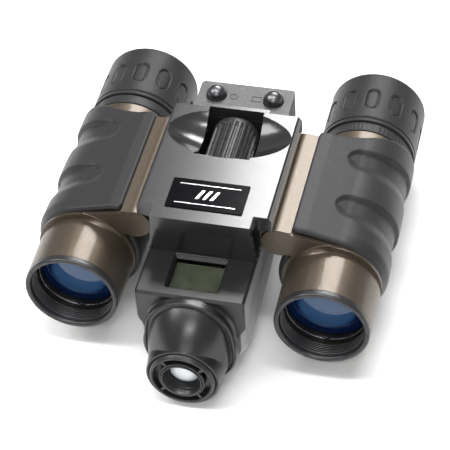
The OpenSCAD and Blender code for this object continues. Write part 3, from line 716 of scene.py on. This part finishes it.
both_sides("shoulder_fillet", shoulder_fillet, "barrel", "bronze_paint", make=drawn, sharp=60)
both_sides("objective_ring", objective_ring, "barrel", "black_metal")
both_sides("retaining_ring", retaining_ring, "objective", "bright_metal", look="ring_metal")
both_sides("armour", armour, "barrel", "armour_rubber", sharp=50)
both_sides("eyecup", eyecup, "eyecup_cup", "eyecup_rubber")
for side, sign in SIDES:
    stand_in(side + "_objective_lens", objective_lens, side + "_objective", "coated_glass",
             look=side + "_objective_glass", mirror=sign < 0)
    refined(side + "_housing", side + "_barrel", "bronze_paint", 0.3)
stand_in("left_eyepiece_ring", eyepiece_ring, "left_barrel", "armour_rubber", mirror=True)
stand_in("right_diopter_ring", diopter_ring, "right_diopter", "armour_rubber")


# ------------------------------------------------------------------ bridge, cover and focusing

WHEEL_Z = 16.2
WHEEL_R = 6.6
WHEEL_RIBS = 24
WHEEL_Y0, WHEEL_Y1 = 38.0, 57.4
RIBBED_Y0, RIBBED_Y1 = 38.5, 55.1   # the ribs run between these and fade out before the crown
BUTTON_Y = 67.6
MARK_Z0, MARK_Z1 = 20.25, 20.42     # the marks stand up from the rear deck
BADGE_TOP_Z = 24.34


def focus_wheel(bm):
    """Ribbed wheel with a smooth crowned rim at the eyepiece end."""
    rows = 60
    wall = [(WHEEL_R, RIBBED_Y0 + (RIBBED_Y1 - RIBBED_Y0) * i / rows) for i in range(rows + 1)]
    crown = quarter((WHEEL_R - 1.9, 55.3), (1.9, 2.0), 9)
    front = [(1.52, WHEEL_Y0), (WHEEL_R - 0.4, WHEEL_Y0), (WHEEL_R - 0.08, WHEEL_Y0 + 0.12)]
    back = [(2.6, WHEEL_Y1 - 0.1), (2.3, WHEEL_Y1 - 0.8), (1.52, WHEEL_Y1 - 0.8)]

    def ribs(r, y, a):
        if r < WHEEL_R - 0.01:
            return r
        groove = smooth(-math.cos(a * WHEEL_RIBS), -0.35, 0.75)
        return r - 0.62 * groove * (1 - smooth(y, 53.2, 55.0)) - 0.05 * smooth(y, 54.5, 55.1)

    lathe(bm, front + wall + crown + back, 0, WHEEL_Z, 18 * WHEEL_RIBS, ribs)


def dome_button(bm, x):
    """Ball-topped button with its stem and its hidden collar."""
    stem = [(0, 17.6), (1.2, 17.6), (1.2, 18.0), (3.6, 18.05), (3.6, 18.5), (2.96, 18.6), (2.96, 20.75)]
    lathe_up(bm, stem + quarter((0, 20.75), (2.96, 2.85), 15), x, BUTTON_Y, closed=False)


def power_button(bm):
    dome_button(bm, -8.5)


def shutter_button(bm):
    dome_button(bm, 8.5)


def deck_marks(bm):
    """Two plain raised marks between the buttons: a ring with a bar, and a small frame."""
    ring = [(0.95, MARK_Z0), (1.2, MARK_Z0), (1.2, MARK_Z1), (0.95, MARK_Z1)]
    lathe_up(bm, ring, -3.4, BUTTON_Y)
    bar = (-3.53, -3.27, 67.6, 69.1)
    frame_bars = ((2.1, 4.9, 66.5, 66.75), (2.1, 4.9, 68.45, 68.7), (2.1, 2.35, 66.5, 68.7),
                  (4.65, 4.9, 66.5, 68.7))
    for x0, x1, y0, y1 in (bar, *frame_bars):
        brick(bm, x0, x1, y0, y1, MARK_Z0, MARK_Z1)


def badge_plate(bm):
    outline = rounded([(-10.9, 15.3), (10.9, 15.3), (10.9, 26.9), (-10.9, 26.9)], 0.5)
    prism(bm, outline, 24.0, BADGE_TOP_Z)


def badge_mark(bm):
    """A generic mark: three slanted bars between two fine lines."""
    low, high = BADGE_TOP_Z - 0.04, BADGE_TOP_Z + 0.01
    for x in (-2.1, 0, 2.1):
        prism(bm, [(x - 1.15, 19.3), (x - 0.25, 19.3), (x + 1.15, 22.9), (x + 0.25, 22.9)], low, high)
    for y in (17.3, 24.9):
        brick(bm, -8.6, 8.6, y - 0.12, y + 0.12, low, high)


stand_in("focus_wheel", focus_wheel, "focus_wheel", "wheel_rubber")
refined("top_cover", "centre", "gloss_cover", 0.35)
refined("bridge_frame", "centre", "dark_plastic", 0.2)
refined("rear_deck", "centre", "deck_grey", 0.45)
stand_in("power_button", power_button, "power_button", "button_chrome")
stand_in("shutter_button", shutter_button, "shutter_button", "button_chrome")
drawn("deck_marks", deck_marks, "centre", "black_metal")
stand_in("badge_plate", badge_plate, "centre", "badge_gloss", bevel=0.12)
drawn("badge_mark", badge_mark, "centre", "bright_metal")


# ------------------------------------------------------------------ camera module

FLANGE_Y = -7.2
FLANGE_TOP_Z, FLANGE_TOP_R = -1.7, 12.4             # the flange's outline blends two circles
FLANGE_LOW_Z, FLANGE_LOW_R = -7.1, 13.2
LIP_R, LIP_Y = 10.22, -16.1         # front end of the hood's collar
GROOVE_HALF = 0.16
DOOR_RIB_Y, DOOR_RIB_PITCH = 36.5, 1.3


def flange_point(a, inset):
    """Point (x, z) of the flange's upright oval at an angle, inset from its edge."""
    blend = smooth(math.sin(a), -0.25, 0.25)
    r = FLANGE_LOW_R + (FLANGE_TOP_R - FLANGE_LOW_R) * blend - inset
    z = FLANGE_LOW_Z + (FLANGE_TOP_Z - FLANGE_LOW_Z) * blend
    return (r * math.cos(a), z + r * math.sin(a))


def lens_hood(bm):
    """Dome that leans from the flange to a crease, and a plain collar from there to the lip."""
    dome_rows, collar_rows = 26, 8
    inside = ((10.1, -16.2), (9.75, -16.25), (9.5, -16.1), (9.42, -15.7), (9.42, -14.3), (6.2, -14.3),
              (6.2, -7.4))

    def collar_point(a, r, y):
        return Vector((r * math.cos(a), y, LENS_Z + r * math.sin(a)))

    rows = []
    for a in turns(144):
        up = max(0.0, math.sin(a))
        x, z = flange_point(a, 1.7)
        start = Vector((x, FLANGE_Y + 0.2, z))
        crease_r = 10.25 + 1.0 * (1 - up) ** 1.5 * smooth(math.sin(a), -1.0, 0.4)
        crease = collar_point(a, crease_r, -10.3 - 5.75 * up ** 1.35)
        outward = Vector((math.cos(a), -0.9, math.sin(a))).normalized()
        bend = (start + crease) / 2 + outward * 0.12 * (crease - start).length
        lip = collar_point(a, LIP_R, LIP_Y)
        line = [curve(start, bend, crease, j / dome_rows) for j in range(dome_rows + 1)]
        line += [crease.lerp(lip, j / collar_rows) for j in range(1, collar_rows + 1)]
        line += [collar_point(a, r, y) for r, y in inside]
        rows.append([bm.verts.new(p) for p in line])
    stitch(bm, rows, wrap_rows=True, wrap_columns=True)


def spider_ring(bm):
    """Outer and inner thin rings joined by four spokes, in front of a dark annular recess."""
    outer = [(8.05, -16.3), (8.2, -17.3), (8.75, -17.35), (9.35, -16.4), (9.35, -14.4), (8.05, -14.4)]
    inner = [(5.95, -17.2), (6.5, -17.2), (6.5, -15.8), (5.95, -15.8)]
    recess = [(6.4, -15.0), (8.2, -15.0), (8.2, -14.4), (6.4, -14.4)]
    lathe(bm, rounded(outer, 0.2), LENS_X, LENS_Z)
    lathe(bm, rounded(inner, 0.15), LENS_X, LENS_Z)
    lathe(bm, rounded(recess, 0.1), LENS_X, LENS_Z, 96)
    for turn in range(4):
        a = math.radians(40 + 90 * turn)
        along = Vector((math.cos(a), 0, math.sin(a)))
        across = Vector((-math.sin(a), 0, math.cos(a)))
        corners = [along * r + across * w for r, w in ((6.3, -0.4), (8.3, -0.4), (8.3, 0.4), (6.3, 0.4))]
        prism(bm, [(c.x + LENS_X, c.z + LENS_Z) for c in corners], -17.0, -16.1, axis="y")


def camera_lens_barrel(bm):
    """Tube round the camera lens, with a stepped funnel in front of the glass."""
    outline = [(5.45, -17.45), (5.85, -17.45), (5.85, -14.35), (4.9, -14.2), (4.9, -4.4), (3.6, -4.4),
               (3.6, -11), (4.1, -11), (4.1, -13.4), (4.35, -13.9), (4.3, -14.3), (4.6, -14.8),
               (4.55, -15.2), (4.9, -15.8), (4.9, -16.2), (5.2, -16.8)]
    lathe(bm, rounded(outline, 0.12, 3), LENS_X, LENS_Z)


def camera_lens(bm):
    lathe(bm, lens_outline(-14.7, 2.2, 4.04, 0.9, 0.1), LENS_X, LENS_Z, 96)


def flange_rim(bm):
    """Thin rounded bead round the front edge of the flange."""
    edge = [flange_point(a, 0.45) for a in turns(160)]
    bead(bm, [(x, FLANGE_Y + 0.05, z) for x, z in edge], 0.42, closed=True)


def display_rim(bm):
    """Thin raised edge round the display's recess."""
    outline = rounded([(-7.8, -1.9), (7.8, -1.9), (7.8, 11.5), (-7.8, 11.5)], 1.0, 6)
    bead(bm, [(p.x, p.y, 10.16) for p in outline], 0.26, closed=True)


def side_grooves(bm, surface, sign):
    """Two fine lines that run back along a side panel, lying on its surface, in the row frame."""
    for z_front, z_back in ((-1.0, 1.0), (1.3, 3.4)):
        rows = []
        for i in range(41):
            t = i / 40
            y, z = 4.2 + 19.8 * t, z_front + (z_back - z_front) * t
            row = []
            for dz in (-GROOVE_HALF, GROOVE_HALF):
                spot, facing, _, _ = surface.ray_cast(to_row((sign * 40, y, z + dz)), (-sign, 0, 0))
                if spot:
                    row.append(bm.verts.new(spot + facing * 0.02 * MM))
            if len(row) == 2:
                rows.append(row)
        stitch(bm, rows)


def door_ribs(bm, surface):
    """Grip ribs across the battery door's free end, on its sloping underside, in the row frame."""
    for i in range(5):
        y = DOOR_RIB_Y + DOOR_RIB_PITCH * i
        half = 4.5 - 0.55 * abs(i - 2)
        rows = []
        for dy, drop in ((-0.3, -0.05), (-0.12, 0.2), (0.12, 0.2), (0.3, -0.05)):
            row = []
            for x in (-half, half):
                spot, _, _, _ = surface.ray_cast(to_row((x, y + dy, -40)), (0, 0, 1))
                row.append(bm.verts.new(spot - Vector((0, 0, drop * MM))))
            rows.append(row)
        stitch(bm, rows)


stand_in("lens_hood", lens_hood, "centre", "dark_plastic")
stand_in("lens_spider_ring", spider_ring, "centre", "black_metal")
stand_in("camera_lens_barrel", camera_lens_barrel, "centre", "black_metal")
stand_in("camera_lens", camera_lens, "centre", "coated_glass")
drawn("flange_rim", flange_rim, "centre", "dark_plastic")
drawn("display_rim", display_rim, "centre", "dark_plastic")
refined("camera_shell", "centre", "dark_plastic", 0.9)
for name in ("side_panel_left", "side_panel_right", "bottom_cover"):
    refined(name, "centre", "panel_silver", 0.3)
for side, sign in SIDES:
    mesh = bmesh.new()
    side_grooves(mesh, node_surface("side_panel_" + side), sign)
    finish_piece(side + "_side_grooves", mesh, "centre", "panel_silver", look="black_metal")
refined("battery_door", "battery_door", "panel_silver", 0.25)
mesh = bmesh.new()
door_ribs(mesh, node_surface("battery_door"))
finish_piece("battery_door_ribs", mesh, "battery_door", "panel_silver")
refined("port_cover", "port_cover", "eyecup_rubber", 0.25)


# ------------------------------------------------------------------ materials of the CAD nodes that stay

SLOTS = {entry["node"]: entry["material_slot"] for entry in frame["record"]["subparts"]}
SPECIAL = {side + "_ocular_lenses": side + "_ocular_glass" for side, _ in SIDES}
for name, cad_node in frame["nodes"].items():
    material = MATERIALS[SPECIAL.get(name, SLOTS[name])]
    cad_node.data.materials.clear()
    cad_node.data.materials.append(material)


# ------------------------------------------------------------------ floor, lights and camera, in metres

FLOOR_HALF = 3.0
FLOOR_Z = -0.0002
LIGHT_AIM = Vector((0, 0, 0.02))
CAMERA_AIM = (5.2, 18.3, 16.7)      # millimetres, in the optics frame
CAMERA_DISTANCE = 530               # millimetres
CAMERA_AZIMUTH, CAMERA_ELEVATION, CAMERA_ROLL = 15.48, 44.22, -3.55
FOCAL_LENGTH = 153.95


def studio_floor():
    s = Surface("studio_floor", rough=0.85)
    s.color(s.tint(s.grain(60, 2), (0.86, 0.86, 0.86), (0.9, 0.9, 0.9)))
    bm = bmesh.new()
    corners = ((-1, -1), (1, -1), (1, 1), (-1, 1))
    bm.faces.new([bm.verts.new((x * FLOOR_HALF, y * FLOOR_HALF, FLOOR_Z)) for x, y in corners])
    data = bpy.data.meshes.new("floor")
    bm.to_mesh(data)
    bm.free()
    data.materials.append(s.material)
    floor = added("floor", data)


def studio_world():
    """Pale surroundings that are brighter overhead."""
    world = bpy.data.worlds.new("studio")
    world.use_nodes = True
    tree = world.node_tree
    place = node(tree, "TexCoord").outputs["Generated"]
    overhead = node(tree, "VectorMath", {0: place, 1: (0.0, -0.1, 1.0)}, operation="DOT_PRODUCT")
    values = {"Value": overhead.outputs["Value"], "From Min": 0.72, "From Max": 1.0, "To Min": 0.34,
              "To Max": 0.8}
    level = node(tree, "MapRange", values, interpolation_type="SMOOTHSTEP")
    tree.links.new(level.outputs[0], tree.nodes["Background"].inputs["Strength"])
    tree.nodes["Background"].inputs["Color"].default_value = (1, 1, 1, 1)
    bpy.context.scene.world = world


def soft_light(name, position, size, power):
    """A soft box that faces the object."""
    data = bpy.data.lights.new(name, "AREA")
    data.shape = "RECTANGLE"
    data.size, data.size_y = size
    data.energy = power
    light = added(name, data)
    light.location = position
    light.rotation_euler = (LIGHT_AIM - Vector(position)).to_track_quat("-Z", "Y").to_euler()


def studio_camera():
    azimuth, elevation = math.radians(CAMERA_AZIMUTH), math.radians(CAMERA_ELEVATION)
    level = math.cos(elevation)
    forward = Vector((-math.sin(azimuth) * level, math.cos(azimuth) * level, -math.sin(elevation)))
    roll = Quaternion((0, 0, 1), math.radians(CAMERA_ROLL))
    data = bpy.data.cameras.new("camera")
    data.lens = FOCAL_LENGTH
    data.sensor_width = 36
    camera = added("camera", data)
    camera.rotation_mode = "QUATERNION"
    camera.rotation_quaternion = forward.to_track_quat("-Z", "Y") @ roll
    camera.location = to_row(CAMERA_AIM) - forward * CAMERA_DISTANCE * MM
    bpy.context.scene.camera = camera


studio_floor()
studio_world()
soft_light("rear", (0.06, 0.53, 0.6), (0.42, 0.22), 5)
soft_light("key", (-0.42, -0.1, 0.55), (0.3, 0.3), 2.5)
soft_light("overhead", (0.0, -0.12, 0.72), (0.5, 0.1), 3)
soft_light("beside the camera", (0.1, -0.6, 0.66), (0.36, 0.12), 2.2)
soft_light("front", (0.05, -0.8, 0.3), (0.5, 0.14), 1)
studio_camera()
bpy.context.scene.view_settings.view_transform = "Standard"
